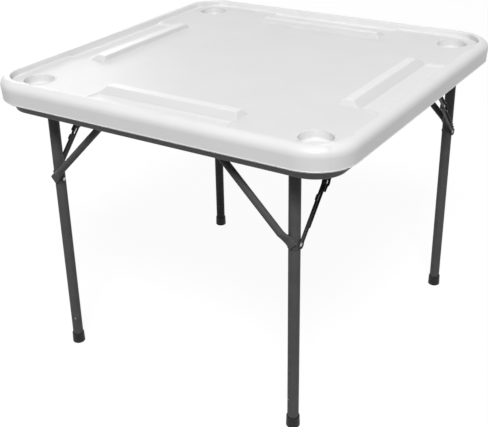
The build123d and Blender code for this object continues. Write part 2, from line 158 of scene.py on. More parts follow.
room_rays = room_tree.nodes.new("ShaderNodeLightPath")
room_seen = maths(room_tree, "MAXIMUM", room_wall, room_rays.outputs["Is Camera Ray"])
room_tree.links.new(room_seen, room_white.inputs["Color"])
split_by_ray(room_tree, room_dim.outputs[0], room_white.outputs[0], room_out.inputs["Surface"])

# The floor looks nearly white, with a soft shadow, and throws less light than it shows
floor_reach = 14
floor_thrown = 0.32
floor_shadow = 0.08
floor_shown = 0.94
floor_mesh = bpy.data.meshes.new("studio_floor")
floor_corners = [(x * floor_reach, y * floor_reach, 0) for x, y in ((-1, -1), (1, -1), (1, 1), (-1, 1))]
floor_mesh.from_pydata(floor_corners, [], [(0, 1, 2, 3)])
studio_floor = bpy.data.objects.new("studio_floor", floor_mesh)
bpy.context.scene.collection.objects.link(studio_floor)
floor_paint = bpy.data.materials.new("studio_floor_paint")
floor_paint.use_nodes = True
floor_tree = floor_paint.node_tree
floor_tree.nodes.clear()
floor_out = floor_tree.nodes.new("ShaderNodeOutputMaterial")
floor_plain = floor_tree.nodes.new("ShaderNodeBsdfDiffuse")
floor_plain.inputs["Color"].default_value = even_grey(floor_thrown)
floor_shade = floor_tree.nodes.new("ShaderNodeBsdfDiffuse")
floor_shade.inputs["Color"].default_value = even_grey(floor_shadow)
floor_glow = floor_tree.nodes.new("ShaderNodeEmission")
floor_glow.inputs["Color"].default_value = even_grey(floor_shown)
floor_sum = floor_tree.nodes.new("ShaderNodeAddShader")
floor_tree.links.new(floor_shade.outputs[0], floor_sum.inputs[0])
floor_tree.links.new(floor_glow.outputs[0], floor_sum.inputs[1])
split_by_ray(floor_tree, floor_plain.outputs[0], floor_sum.outputs[0], floor_out.inputs["Surface"])
studio_floor.data.materials.append(floor_paint)

# Table top: one blow-moulded panel of white polyethylene, with a rounded rim round a sunk playing field,
# a cup holder in each corner and a tray behind a moulded ridge along each side. The lip hangs over the
# apron, and the mould's fine grain shows on every face.
top_low, top_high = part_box("tabletop")
top_half = top_high.x
top_crest = top_high.z
corner_radius = 0.095
corner_centre = top_half - corner_radius
field_level = top_crest - 0.0145
lip_level = top_low.z
belt_level = top_crest - 0.021
underside_level = field_level - 0.0185
field_foot = top_half - 0.0252
apron_line = top_half - 0.0275
tray_half = 0.177
tray_flare = 0.010
tray_bead = 0.0009
tray_fall = 0.0045
tray_end_run = 0.018
ridge_half = 0.178
ridge_rise = 0.0115
ridge_end_run = 0.011
ridge_foot = top_half - 0.127
ridge_back = top_half - 0.095
patch_edge = ridge_foot - 0.010
patch_half = 0.212
cup_place = 0.3557
cup_guard = 0.041


def rounded_path(corners, radii, turn_step, run_step):
    """Points along a line of straight runs, with each corner rounded to its radius."""
    points = [Vector(corners[0])]
    for place in range(1, len(corners) - 1):
        before, here, after = (Vector(corners[place + step]) for step in (-1, 0, 1))
        radius = radii[place - 1]
        inward = (before - here).normalized()
        outward = (after - here).normalized()
        half_angle = inward.angle(outward) / 2
        reach = radius / math.tan(half_angle)
        middle = here + (inward + outward).normalized() * (radius / math.sin(half_angle))
        start = here + inward * reach - middle
        end = here + outward * reach - middle
        sweep = start.angle_signed(end)
        count = max(2, round(abs(math.degrees(sweep)) / turn_step))
        for step in range(count + 1):
            turn = -sweep * step / count
            points.append(middle + Vector((start.x * math.cos(turn) - start.y * math.sin(turn),
                                           start.x * math.sin(turn) + start.y * math.cos(turn))))
    points.append(Vector(corners[-1]))
    path = [points[0]]
    for point in points[1:]:
        gap = (point - path[-1]).length
        if gap < 1e-6:
            continue
        start = path[-1]
        pieces = max(1, math.ceil(gap / run_step))
        for step in range(1, pieces + 1):
            path.append(start.lerp(point, step / pieces))
    return path


def height_along(path, place):
    """Height of a path that runs outward, at one place along it."""
    for before, after in zip(path, path[1:]):
        if before.x <= place <= after.x and after.x > before.x:
            return before.y + (after.y - before.y) * (place - before.x) / (after.x - before.x)
    return path[-1].y


def soft_low(first, second, width):
    """The lower of two heights, with a rounded change from one to the other."""
    overlap = max(width - abs(first - second), 0.0)
    return min(first, second) - overlap * overlap / (4 * width)


# Trays and ridges: one outline across each side, with sloping ends
ridge_toe = ridge_foot - 0.004
ridge_face = ridge_foot - 0.0005
ridge_brow = ridge_foot + 0.021
ridge_end_round = 0.0035
tray_start = ridge_back + 0.014
tray_start_fall = 0.003
tray_end_round = 0.0008
tray_bead_width = 0.0045
tray_bead_growth = 8.0
tray_corners = [(patch_edge, 0.0), (ridge_toe, 0.0), (ridge_face, ridge_rise), (ridge_brow, ridge_rise),
                (tray_start, -tray_start_fall), (field_foot, -tray_fall)]
tray_path = rounded_path(tray_corners, [0.0025, 0.004, 0.008, 0.028], turn_step=4.0, run_step=0.005)


def tray_height(along, out):
    """Height over the playing field in a tray and on its ridge."""
    level = height_along(tray_path, out)
    if level >= 0.0:
        end = (ridge_half - abs(along)) * ridge_rise / ridge_end_run
        return max(0.0, soft_low(level, end, ridge_end_round))
    share = min(max((out - ridge_back) / (field_foot - ridge_back), 0.0), 1.0)
    inside = tray_half + tray_flare * share - abs(along)
    bead = tray_bead * min(1.0, tray_bead_growth * share) * max(0.0, 1.0 - (inside / tray_bead_width) ** 2)
    return bead - max(0.0, soft_low(-level, inside * tray_fall / tray_end_run, tray_end_round))


# Places along each side, close together where the ridges and trays end
fine_gap = 0.002
fine_count = 45
wide_count = 5
arc_steps = 28
fine_steps = [patch_half - fine_gap * step for step in range(fine_count)]
wide_steps = [fine_steps[-1] * step / wide_count for step in range(wide_count)]
side_steps = sorted({round(along, 6) for along in fine_steps + wide_steps})
side_lines = [-along for along in reversed(side_steps) if along > 0] + side_steps
beyond = [patch_half + (corner_centre - patch_half) * step / wide_count for step in range(1, wide_count + 1)]
edge_lines = [-along for along in reversed(beyond)] + side_lines + beyond


def turned_to(side, along, out):
    """A place on one of the four sides, counted from the front side anticlockwise."""
    x, y = along, -out
    for _ in range(side):
        x, y = -y, x
    return x, y


def corner_arc(side, half):
    """Places round the corner that ends a side, concentric with the top's own."""
    reach = half - corner_centre
    turns = [math.pi / 2 * step / arc_steps for step in range(1, arc_steps)]
    return [turned_to(side, corner_centre + reach * math.sin(turn), corner_centre + reach * math.cos(turn))
            for turn in turns]


def ring(half, level, lines=edge_lines, drop=None):
    """A closed ring of points round the table, which may drop from its level along the sides."""
    points = []
    for side in range(4):
        for along in lines:
            fall = drop(along) if drop else 0.0
            points.append((*turned_to(side, along, half), level - fall))
        points += [(x, y, level) for x, y in corner_arc(side, half)]
    return points


def circle(centre, radius, count):
    """Places round a circle, seen from above."""
    turns = [math.tau * step / count for step in range(count)]
    return [(centre[0] + radius * math.cos(turn), centre[1] + radius * math.sin(turn)) for turn in turns]


def skin(mesh, rings, closed=True):
    """Quads between rings of points, each ring running the same way."""
    rows = [[mesh.verts.new(point) for point in points] for points in rings]
    for lower, upper in zip(rows, rows[1:]):
        count = len(lower)
        for place in range(count if closed else count - 1):
            after = (place + 1) % count
            mesh.faces.new((lower[place], lower[after], upper[after], upper[place]))
    return rows


def finished_piece(mesh, name, crease):
    """Bmesh work as an object in the scene: stitched, facing outwards and smooth up to a crease angle."""
    bmesh.ops.remove_doubles(mesh, verts=mesh.verts, dist=2e-6)
    bmesh.ops.recalc_face_normals(mesh, faces=mesh.faces)
    for face in mesh.faces:
        face.smooth = True
    for edge in mesh.edges:
        if len(edge.link_faces) == 2 and edge.calc_face_angle() > math.radians(crease):
            edge.smooth = False
    shape = bpy.data.meshes.new(name)
    mesh.to_mesh(shape)
    mesh.free()
    piece = bpy.data.objects.new(name, shape)
    bpy.context.scene.collection.objects.link(piece)
    return piece


top_mesh = bmesh.new()

# Rim: from the field's edge over the crest and round the lip to the underside
rim_wall = field_foot + 0.0012
lip_draft = math.radians(4.0)
lip_line_rise = 0.0048
lip_line = top_half - (belt_level - lip_level - lip_line_rise) * math.tan(lip_draft)
lip_bead = 0.0009
lip_bead_rise = 0.0036
lip_turn = 0.0032
underside_edge = apron_line - 0.004
rim_corners = [(field_foot, field_level), (rim_wall, field_level), (rim_wall, top_crest),
               (top_half, top_crest), (top_half, belt_level), (lip_line, lip_level + lip_line_rise),
               (lip_line + lip_bead, lip_level + lip_bead_rise), (lip_line - lip_turn, lip_level),
               (apron_line, lip_level), (apron_line, underside_level), (underside_edge, underside_level)]
rim_radii = [0.001, 0.0035, 0.019, 0.012, 0.0006, 0.0007, 0.0012, 0.0012, 0.0012]
rim_path = rounded_path(rim_corners, rim_radii, turn_step=7.5, run_step=0.006)


def tray_drop(along):
    """How far the rim's foot goes down to meet a tray."""
    return -tray_height(along, field_foot) if abs(along) < patch_half else 0.0


rim_rings = []
for point in rim_path:
    on_foot = point.x < field_foot + 0.002 and point.y < field_level + 0.0015
    rim_rings.append(ring(point.x, point.y, drop=tray_drop if on_foot else None))
skin(top_mesh, rim_rings)

# Trays and ridges: a grid over each side
out_lines = [point.x for point in tray_path]
for side in range(4):
    rows = [[(*turned_to(side, along, out), field_level + tray_height(along, out)) for along in side_lines]
            for out in out_lines]
    skin(top_mesh, rows, closed=False)

# Cup holders: drafted wells with a low bead round a rounded edge
cup_depth = 0.0165
cup_bead = 0.0007
cup_bead_foot = 0.0392
cup_bead_edge = 0.0382
cup_mouth = 0.035
cup_floor = 0.0333
cup_count = 72
cup_corners = [(cup_guard, 0.0), (cup_bead_foot, 0.0), (cup_bead_edge, cup_bead), (cup_mouth, cup_bead),
               (cup_floor, -cup_depth), (0.0, -cup_depth)]
cup_path = rounded_path(cup_corners, [0.0008, 0.0008, 0.002, 0.004], turn_step=12.0, run_step=0.006)
cup_centres = [(sx * cup_place, sy * cup_place) for sx in (-1, 1) for sy in (-1, 1)]
for centre in cup_centres:
    cup_rings = [[(x, y, field_level + point.y) for x, y in circle(centre, point.x, cup_count)]
                 for point in cup_path[:-1]]
    floor_ring = skin(top_mesh, cup_rings)[-1]
    top_mesh.faces.new(floor_ring)

# Playing field: flat between the trays, the cup holders and the rim
sheet_gap = 0.048
sheet_reach = 6
outline = []
for side in range(4):
    sheet = [(along, field_foot) for along in edge_lines if along < -patch_half]
    sheet += [(-patch_half, out) for out in reversed(out_lines)]
    sheet += [(along, patch_edge) for along in side_lines[1:-1]]
    sheet += [(patch_half, out) for out in out_lines]
    sheet += [(along, field_foot) for along in edge_lines if along > patch_half]
    outline += [turned_to(side, along, out) for along, out in sheet]
    outline += corner_arc(side, field_foot)
flat_points = [Vector(point) for point in outline]
flat_edges = [(place, (place + 1) % len(outline)) for place in range(len(outline))]
for centre in cup_centres:
    first = len(flat_points)
    flat_points += [Vector(point) for point in circle(centre, cup_guard, cup_count)]
    flat_edges += [(first + step, first + (step + 1) % cup_count) for step in range(cup_count)]
for column in range(-sheet_reach, sheet_reach + 1):
    for row in range(-sheet_reach, sheet_reach + 1):
        flat_points.append(Vector((column * sheet_gap, row * sheet_gap)))
sheet_points, _, sheet_faces, _, _, _ = delaunay_2d_cdt(flat_points, flat_edges, [], 0, 1e-7)


def on_flat(x, y):
    """Whether a place is on the playing field, and not in a tray, past a corner or in a cup holder."""
    far = max(abs(x), abs(y))
    near = min(abs(x), abs(y))
    if far > field_foot or (far > patch_edge and near < patch_half):
        return False
    corner_reach = math.hypot(far - corner_centre, near - corner_centre)
    if near > corner_centre and corner_reach > field_foot - corner_centre:
        return False
    return all(math.hypot(x - cup_x, y - cup_y) > cup_guard * 0.999 for cup_x, cup_y in cup_centres)


sheet_verts = [top_mesh.verts.new((point.x, point.y, field_level)) for point in sheet_points]
for face in sheet_faces:
    middle = sum((sheet_points[place] for place in face), Vector((0.0, 0.0))) / len(face)
    if on_flat(middle.x, middle.y):
        top_mesh.faces.new([sheet_verts[place] for place in face])
bmesh.ops.delete(top_mesh, geom=[vert for vert in top_mesh.verts if not vert.link_faces], context="VERTS")

# Underside, behind the apron
top_mesh.faces.new([top_mesh.verts.new(point) for point in ring(underside_edge, underside_level)])
table_panel = finished_piece(top_mesh, "table_panel", crease=50.0)


def new_paint(name):
    """A new material, with its node tree, its shader and its place on the object in metres."""
    paint = bpy.data.materials.new(name)
    paint.use_nodes = True
    tree = paint.node_tree
    place = tree.nodes.new("ShaderNodeTexCoord")
    return paint, tree, tree.nodes["Principled BSDF"], place.outputs["Object"]


noise_range = (0.3, 0.7)


def cloudy(tree, place, size, detail=3.0, stretch=None):
    """Soft noise with the given size of cloud, in metres."""
    clouds = tree.nodes.new("ShaderNodeTexNoise")
    clouds.inputs["Scale"].default_value = 1.0 / size
    clouds.inputs["Detail"].default_value = detail
    if stretch:
        mapping = tree.nodes.new("ShaderNodeMapping")
        mapping.inputs["Scale"].default_value = stretch
        tree.links.new(place, mapping.inputs["Vector"])
        place = mapping.outputs["Vector"]
    tree.links.new(place, clouds.inputs["Vector"])
    return clouds.outputs["Fac"]


def grey_from(tree, value):
    """A grey of the given value."""
    grey = tree.nodes.new("ShaderNodeCombineColor")
    for socket in grey.inputs[:3]:
        tree.links.new(value, socket)
    return grey.outputs[0]


def relief_from(tree, shader, height, depth):
    """Fine relief in the shading alone, of the given depth in metres."""
    relief = tree.nodes.new("ShaderNodeBump")
    relief.inputs["Strength"].default_value = 1.0
    relief.inputs["Distance"].default_value = depth
    tree.links.new(height, relief.inputs["Height"])
    tree.links.new(relief.outputs["Normal"], shader.inputs["Normal"])


def moulded_polyethylene(name, smooth_and_sheen_tone, field_tone, roughness):
    """White moulded plastic with painted light and shade: lighter on the smooth rim, trays and ridges than on
    the grained field, partly for that finish and partly as painted sheen, and glossier there;
    a painted highlight on the ridge tops; and painted shade on the steep walls inside the rim, in the cup
    wells and on the rim's lower side."""
    field_band = (0.0002, 0.0012)
    well_shade_heights = (-0.009, -0.006)
    well_shade_share = 0.35
    wall_slopes = (0.89, 0.975)
    painted_wall_shade = 0.11
    rim_start = (0.412, 0.418)
    ridge_top_highlight_heights = (0.009, 0.0112)
    ridge_top_highlight_share = 0.55
    paint, tree, shader, place = new_paint(name)
    axes = tree.nodes.new("ShaderNodeSeparateXYZ")
    tree.links.new(place, axes.inputs[0])
    above = maths(tree, "SUBTRACT", axes.outputs["Z"], field_level)
    smooth_part = spread(tree, maths(tree, "ABSOLUTE", above, 0.0), field_band, (0.0, 1.0))
    # Painted shade: deeper than the field, in the cup wells, on the rim's lower side and underneath, most of
    # the lighter tone falls away
    well_shade = spread(tree, above, well_shade_heights, (well_shade_share, 1.0))
    # The smooth faces' lighter tone stands partly for their finish and partly for painted sheen
    tone = spread(tree, maths(tree, "MULTIPLY", smooth_part, well_shade), (0.0, 1.0), (field_tone, smooth_and_sheen_tone))
    # Painted shade on the steep walls inside the rim: the walls of the ridges, trays and cup wells
    facing = tree.nodes.new("ShaderNodeNewGeometry")
    slope = tree.nodes.new("ShaderNodeSeparateXYZ")
    tree.links.new(facing.outputs["Normal"], slope.inputs[0])
    steep = spread(tree, slope.outputs["Z"], wall_slopes, (1.0, 0.0))
    far_x = maths(tree, "ABSOLUTE", axes.outputs["X"], 0.0)
    far_y = maths(tree, "ABSOLUTE", axes.outputs["Y"], 0.0)
    within = spread(tree, maths(tree, "MAXIMUM", far_x, far_y), rim_start, (painted_wall_shade, 0.0))
    tone = maths(tree, "SUBTRACT", tone, maths(tree, "MULTIPLY", steep, within))
    # Painted highlight on the tops of the ridges
    ridge_top_highlight = spread(tree, above, ridge_top_highlight_heights, (0.0, ridge_top_highlight_share))
    tone = maths(tree, "ADD", tone, maths(tree, "MULTIPLY", ridge_top_highlight, within))
    shade = spread(tree, cloudy(tree, place, size=0.09), noise_range, (0.985, 1.01))
    tree.links.new(grey_from(tree, maths(tree, "MULTIPLY", tone, shade)), shader.inputs["Base Color"])
    scuffs = cloudy(tree, place, size=0.05, detail=6.0, stretch=(1.0, 6.0, 1.0))
    gloss = spread(tree, scuffs, (0.35, 0.65), (roughness - 0.02, roughness + 0.03))
    matt = spread(tree, smooth_part, (0.0, 1.0), (0.07, 0.0))
    tree.links.new(maths(tree, "ADD", gloss, matt), shader.inputs["Roughness"])
    pebble_size = 0.0016
    pebbles = tree.nodes.new("ShaderNodeTexVoronoi")
    pebbles.inputs["Scale"].default_value = 1.0 / pebble_size
    tree.links.new(place, pebbles.inputs["Vector"])
    grain_depth = spread(tree, smooth_part, (0.0, 1.0), (1.0, 0.25))
    grain = maths(tree, "MULTIPLY", pebbles.outputs["Distance"], grain_depth)
    swell = maths(tree, "MULTIPLY", cloudy(tree, place, size=0.12, detail=1.0), 12.0)
    relief_from(tree, shader, maths(tree, "ADD", grain, swell), depth=0.00003)
    shader.inputs["IOR"].default_value = 1.5
    shader.inputs["Specular IOR Level"].default_value = 0.5
    return paint


moulded_white = moulded_polyethylene("moulded_white", smooth_and_sheen_tone=0.835, field_tone=0.8, roughness=0.36)
table_panel.data.materials.append(moulded_white)
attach(table_panel, "table_top")
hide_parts("tabletop")

# Apron: a band of 1.6 mm steel sheet, roll-formed to the outline of the top, with an inward flange above and
# a hem below, and a dark grey powder coat. Twelve screws through the flange hold it under the top.
apron_low, apron_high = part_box("apron")
apron_face = apron_high.x
sheet_wall = 0.0016
inner_face = apron_face - sheet_wall
flange_edge = apron_face - 0.0116
flange_middle = apron_high.z - sheet_wall / 2
flange_inside = apron_high.z - sheet_wall
hem_edge = apron_face - 0.0076
hem_inside = apron_low.z + sheet_wall


def coated_steel(name, tone, roughness, shine):
    """Powder coat on steel: a fine orange peel, slightly uneven in tone and gloss, with small worn specks."""
    paint, tree, shader, place = new_paint(name)
    shade = spread(tree, cloudy(tree, place, size=0.03), noise_range, (0.92 * tone, 1.08 * tone))
    specks = spread(tree, cloudy(tree, place, size=0.0022, detail=2.0), (0.69, 0.74), (0.0, 0.5 * tone))
    tree.links.new(grey_from(tree, maths(tree, "ADD", shade, specks)), shader.inputs["Base Color"])
    clouds = cloudy(tree, place, size=0.012, detail=4.0)
    gloss = spread(tree, clouds, noise_range, (roughness - 0.05, roughness + 0.07))
    tree.links.new(gloss, shader.inputs["Roughness"])
    relief_from(tree, shader, cloudy(tree, place, size=0.0009, detail=2.0), depth=0.00002)
    shader.inputs["Specular IOR Level"].default_value = shine
    return paint


apron_mesh = bmesh.new()
apron_corners = [(flange_edge, flange_middle), (flange_edge, apron_high.z), (apron_face, apron_high.z),
                 (apron_face, apron_low.z), (hem_edge, apron_low.z), (hem_edge, hem_inside),
                 (inner_face, hem_inside), (inner_face, flange_inside), (flange_edge, flange_inside),
                 (flange_edge, flange_middle)]
apron_radii = [0.0004, 0.0018, 0.0024, 0.0006, 0.0006, 0.0008, 0.0008, 0.0004]
apron_path = rounded_path(apron_corners, apron_radii, turn_step=22.5, run_step=0.012)
apron_lines = edge_lines[::3] + edge_lines[-1:]
skin(apron_mesh, [ring(point.x, point.y, lines=apron_lines) for point in apron_path])
apron_band = finished_piece(apron_mesh, "apron_band", crease=50.0)
apron_coat = coated_steel("apron_coat", tone=0.16, roughness=0.45, shine=0.3)
apron_band.data.materials.append(apron_coat)
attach(apron_band, "table_top")
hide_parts("apron")

# Pivot brackets: 2 mm steel plates with two pressed ears each, which carry the cross tubes. Lock anchors: a
# plate with one tongue. Both have the frame's coat, and countersunk screws hold them under the top.
corner_names = ("narrow_left", "narrow_right", "wide_left", "wide_right")


def settle(piece, modifier):
    """Keeps what a modifier makes of a piece as the piece's own mesh."""
    plain = bpy.data.meshes.new_from_object(piece.evaluated_get(bpy.context.evaluated_depsgraph_get()))
    piece.modifiers.remove(modifier)
    piece.data = plain
    plain.name = piece.name


def dressed_copy(node, name, body, paint, crease=30.0, edge_round=0.0):
    """A node's own shape with its triangles joined, and with rounded edges where it is pressed from sheet."""
    work = bmesh.new()
    work.from_mesh(nodes[node].data)
    bmesh.ops.remove_doubles(work, verts=work.verts, dist=1e-6)
    bmesh.ops.dissolve_limit(work, angle_limit=math.radians(0.4), verts=work.verts, edges=work.edges)
    piece = finished_piece(work, name, crease)
    piece.data.materials.append(paint)
    if edge_round:
        rounding = piece.modifiers.new("edge_round", "BEVEL")
        rounding.width = edge_round
        rounding.segments = 2
        rounding.limit_method = "ANGLE"
        rounding.angle_limit = math.radians(crease)
        rounding.use_clamp_overlap = True
        settle(piece, rounding)
    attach(piece, body)
    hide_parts(node)
    return piece


frame_coat = coated_steel("frame_coat", tone=0.085, roughness=0.46, shine=0.1)
for corner in corner_names:
    for piece in ("pivot_bracket", "lock_anchor"):
        dressed_copy(f"{corner}_{piece}", f"{corner}_{piece}_steel", "table_top", frame_coat,
                     edge_round=0.0004)

# Leg tubes: 25.4 mm round steel tube with a 1.2 mm wall, coped to fit under the cross tube and welded to it.
# Their lower ends stand in the foot caps.
tube_radius = 0.0127
tube_wall = 0.0012
tube_bore = tube_radius - tube_wall
tube_count = 64
straight_end = 0.64
straight_rows = 40
frame_bodies = {"narrow": "narrow_leg_frame", "wide": "wide_leg_frame"}
pivot_level = (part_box("narrow_cross_tube")[0].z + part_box("narrow_cross_tube")[1].z) / 2


def middle_of(low, high):
    """The middle of a box, seen from above."""
    return (low.x + high.x) / 2, (low.y + high.y) / 2


def cope(y):
    """The level at which the end of a leg meets the round of the cross tube."""
    return min(pivot_level - 2 * tube_wall, pivot_level - math.sqrt(max(tube_radius ** 2 - y ** 2, 0.0)))


def tube_ring(centre, radius, level):
    """A ring round an upright tube, at one level or at a level for each place across it."""
    return [(centre[0] + x, centre[1] + y, level(y) if callable(level) else level)
            for x, y in circle((0.0, 0.0), radius, tube_count)]


for corner in corner_names:
    low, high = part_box(f"{corner}_leg_tube")
    centre = middle_of(low, high)
    levels = [low.z + (straight_end - low.z) * step / straight_rows for step in range(straight_rows + 1)]
    rings = [tube_ring(centre, tube_bore, level) for level in (cope, straight_end, low.z)]
    rings += [tube_ring(centre, tube_radius, level) for level in levels]
    rings += [tube_ring(centre, tube_radius, cope), tube_ring(centre, tube_bore, cope)]
    leg_mesh = bmesh.new()
    skin(leg_mesh, rings)
    leg = finished_piece(leg_mesh, f"{corner}_leg", crease=40.0)
    leg.data.materials.append(frame_coat)
    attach(leg, frame_bodies[corner.split("_")[0]])
    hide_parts(f"{corner}_leg_tube")

# Cross tubes and diagonal braces: the same kind of tube, the braces with flattened ends on saddles that are
# welded round the leg and the cross tube.
for kind, body in frame_bodies.items():
    dressed_copy(f"{kind}_cross_tube", f"{kind}_cross_tube_steel", body, frame_coat,
                 crease=40.0)
for corner in corner_names:
    dressed_copy(f"{corner}_diagonal_brace", f"{corner}_brace", frame_bodies[corner.split("_")[0]],
                 frame_coat, crease=40.0)

# Welds: short runs of beads round the saddles of the braces and round the copes of the legs, under the coat.
# They are read from a few bright spots in the photo and repeated at every leg.
weld_bead = 0.0012
weld_pitch = 0.0017
weld_sink = 0.0004
saddle_reach = 0.0136
saddle_half = 0.0130
saddle_start = 210
saddle_steps = 13
cope_reach = 0.0131
cope_starts = (20, 200)
cope_steps = 15
brace_level = 0.466
brace_run = 0.192


def random_value(tree, low, high, seed):
    """A random number between two values, for each point."""
    chance = tree.nodes.new("FunctionNodeRandomValue")
    chance.data_type = "FLOAT"
    ends = [socket for socket in chance.inputs if socket.name in ("Min", "Max") and socket.enabled]
    for socket, value in zip(ends, (low, high)):
        socket.default_value = value
    chance.inputs["Seed"].default_value = seed
    return next(socket for socket in chance.outputs if socket.enabled)


def weld_tree():
    """Lays round beads of varied size along each line of points."""
    tree = bpy.data.node_groups.new("weld_beads", "GeometryNodeTree")
    face = tree.interface
    face.new_socket("Line", in_out="INPUT", socket_type="NodeSocketGeometry")
    face.new_socket("Pitch", in_out="INPUT", socket_type="NodeSocketFloat").default_value = weld_pitch
    face.new_socket("Bead", in_out="INPUT", socket_type="NodeSocketFloat").default_value = weld_bead
    face.new_socket("Finish", in_out="INPUT", socket_type="NodeSocketMaterial")
    face.new_socket("Weld", in_out="OUTPUT", socket_type="NodeSocketGeometry")
    given = tree.nodes.new("NodeGroupInput")
    made = tree.nodes.new("NodeGroupOutput")
    line = tree.nodes.new("GeometryNodeMeshToCurve")
    pitch = tree.nodes.new("GeometryNodeResampleCurve")
    pitch.mode = "LENGTH"
    bead = tree.nodes.new("GeometryNodeMeshIcoSphere")
    bead.inputs["Subdivisions"].default_value = 2
    placing = tree.nodes.new("GeometryNodeInstanceOnPoints")
    joined = tree.nodes.new("GeometryNodeRealizeInstances")
    smooth = tree.nodes.new("GeometryNodeSetShadeSmooth")
    finish_set = tree.nodes.new("GeometryNodeSetMaterial")
    link = tree.links.new
    link(given.outputs["Line"], line.inputs["Mesh"])
    link(line.outputs["Curve"], pitch.inputs["Curve"])
    link(given.outputs["Pitch"], pitch.inputs["Length"])
    link(pitch.outputs["Curve"], placing.inputs["Points"])
    link(given.outputs["Bead"], bead.inputs["Radius"])
    link(bead.outputs["Mesh"], placing.inputs["Instance"])
    link(random_value(tree, 0.85, 1.15, seed=3), placing.inputs["Scale"])
    link(placing.outputs["Instances"], joined.inputs["Geometry"])
    link(joined.outputs["Geometry"], smooth.inputs["Geometry"])
    link(smooth.outputs["Geometry"], finish_set.inputs["Geometry"])
    link(given.outputs["Finish"], finish_set.inputs["Material"])
    link(finish_set.outputs["Geometry"], made.inputs["Weld"])
    return tree


def set_inputs(modifier, values):
    """Sets a node tree's named inputs by their identifiers."""
    for item in modifier.node_group.interface.items_tree:
        if item.in_out == "INPUT" and item.name in values:
            modifier[item.identifier] = values[item.name]


def turns_from(first, count):
    """Turns ten degrees apart."""
    return [math.radians(first + 10 * step) for step in range(count)]


def weld_lines(kind):
    """The lines of one leg frame's welds, each a list of points."""
    lines = []
    for hand, way in (("left", -1.0), ("right", 1.0)):
        low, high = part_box(f"{kind}_{hand}_leg_tube")
        leg_x, leg_y = middle_of(low, high)
        outward = 1.0 if leg_y > 0 else -1.0
        saddle = [(saddle_reach * math.cos(turn), leg_y - outward * saddle_reach * math.sin(turn))
                  for turn in turns_from(saddle_start, saddle_steps)]
        for level in (brace_level - saddle_half, brace_level + saddle_half):
            lines.append([(leg_x + over, y, level) for over, y in saddle])
        for step in (-1, 1):
            along = leg_x - way * brace_run + step * saddle_half
            lines.append([(along, y, pivot_level + over) for over, y in saddle])
        for first in cope_starts:
            lines.append([(leg_x + cope_reach * math.cos(turn), leg_y + cope_reach * math.sin(turn),
                           cope(tube_radius * math.sin(turn)) - weld_sink)
                          for turn in turns_from(first, cope_steps)])
    return lines


weld_beads = weld_tree()
for kind, body in frame_bodies.items():
    points = []
    edges = []
    for line in weld_lines(kind):
        edges += [(len(points) + step, len(points) + step + 1) for step in range(len(line) - 1)]
        points += line
    shape = bpy.data.meshes.new(kind + "_weld_lines")
    shape.from_pydata(points, edges, [])
    welds = bpy.data.objects.new(kind + "_welds", shape)
    bpy.context.scene.collection.objects.link(welds)
    laying = welds.modifiers.new("beads", "NODES")
    laying.node_group = weld_beads
    set_inputs(laying, {"Pitch": weld_pitch, "Bead": weld_bead, "Finish": frame_coat})
    settle(welds, laying)
    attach(welds, body)

# Lock links: channels pressed from thin steel, two to each leg, with an eye at each end, a window and a
# thumb grip near the knee, and a near-black coat.
link_coat = coated_steel("link_coat", tone=0.03, roughness=0.4, shine=0.25)
for corner in corner_names:
    for piece, body in (("lower_link", "lower_strut"), ("upper_link", "upper_strut")):
        dressed_copy(f"{corner}_{piece}", f"{corner}_{piece}_steel", f"{corner}_{body}",
                     link_coat, edge_round=0.0003)

# Foot caps and tube plugs: black moulded plastic with a fine grain. The caps are pushed over the ends of the
# legs and the plugs into the ends of the cross tubes.


def black_plastic(name, tone, roughness):
    """Black moulded plastic with a fine grain, scuffed grey where it meets the floor."""
    paint, tree, shader, place = new_paint(name)
    scuff_height = 0.007
    axes = tree.nodes.new("ShaderNodeSeparateXYZ")
    tree.links.new(place, axes.inputs[0])
    low_part = spread(tree, axes.outputs["Z"], (0.0, scuff_height), (1.0, 0.0))
    marks = cloudy(tree, place, size=0.004, detail=5.0, stretch=(1.0, 1.0, 4.0))
    scuffs = spread(tree, marks, (0.45, 0.6), (0.0, 0.03))
    shade = spread(tree, cloudy(tree, place, size=0.01), noise_range, (0.9 * tone, 1.1 * tone))
    worn = maths(tree, "ADD", shade, maths(tree, "MULTIPLY", low_part, scuffs))
    tree.links.new(grey_from(tree, worn), shader.inputs["Base Color"])
    clouds = cloudy(tree, place, size=0.006, detail=4.0)
    gloss = spread(tree, clouds, noise_range, (roughness - 0.06, roughness + 0.08))
    tree.links.new(gloss, shader.inputs["Roughness"])
    relief_from(tree, shader, cloudy(tree, place, size=0.0008), depth=0.00003)
    shader.inputs["Specular IOR Level"].default_value = 0.3
    return paint


black_moulding = black_plastic("black_moulding", tone=0.012, roughness=0.5)
for corner in corner_names:
    for piece in ("foot_cap", "tube_plug"):
        dressed_copy(f"{corner}_{piece}", f"{corner}_{piece}_moulded", frame_bodies[corner.split("_")[0]],
                     black_moulding, crease=40.0)

# Screws: zinc-plated steel with a cross recess. Twelve pan heads under the apron's flange, and sixteen
# countersunk heads flush with the plates of the brackets and anchors.


def zinc_plate(name, tone, roughness):
    """Dull zinc plate: metal, a little blotchy, with fine scratches."""
    paint, tree, shader, place = new_paint(name)
    shade = spread(tree, cloudy(tree, place, size=0.003, detail=4.0), noise_range, (0.85 * tone, 1.1 * tone))
    tree.links.new(grey_from(tree, shade), shader.inputs["Base Color"])
    streaks = cloudy(tree, place, size=0.0012, detail=3.0, stretch=(1.0, 1.0, 8.0))
    gloss = spread(tree, streaks, noise_range, (roughness - 0.08, roughness + 0.1))
    tree.links.new(gloss, shader.inputs["Roughness"])
    relief_from(tree, shader, cloudy(tree, place, size=0.0005), depth=0.00001)
    shader.inputs["Metallic"].default_value = 1.0
    return paint


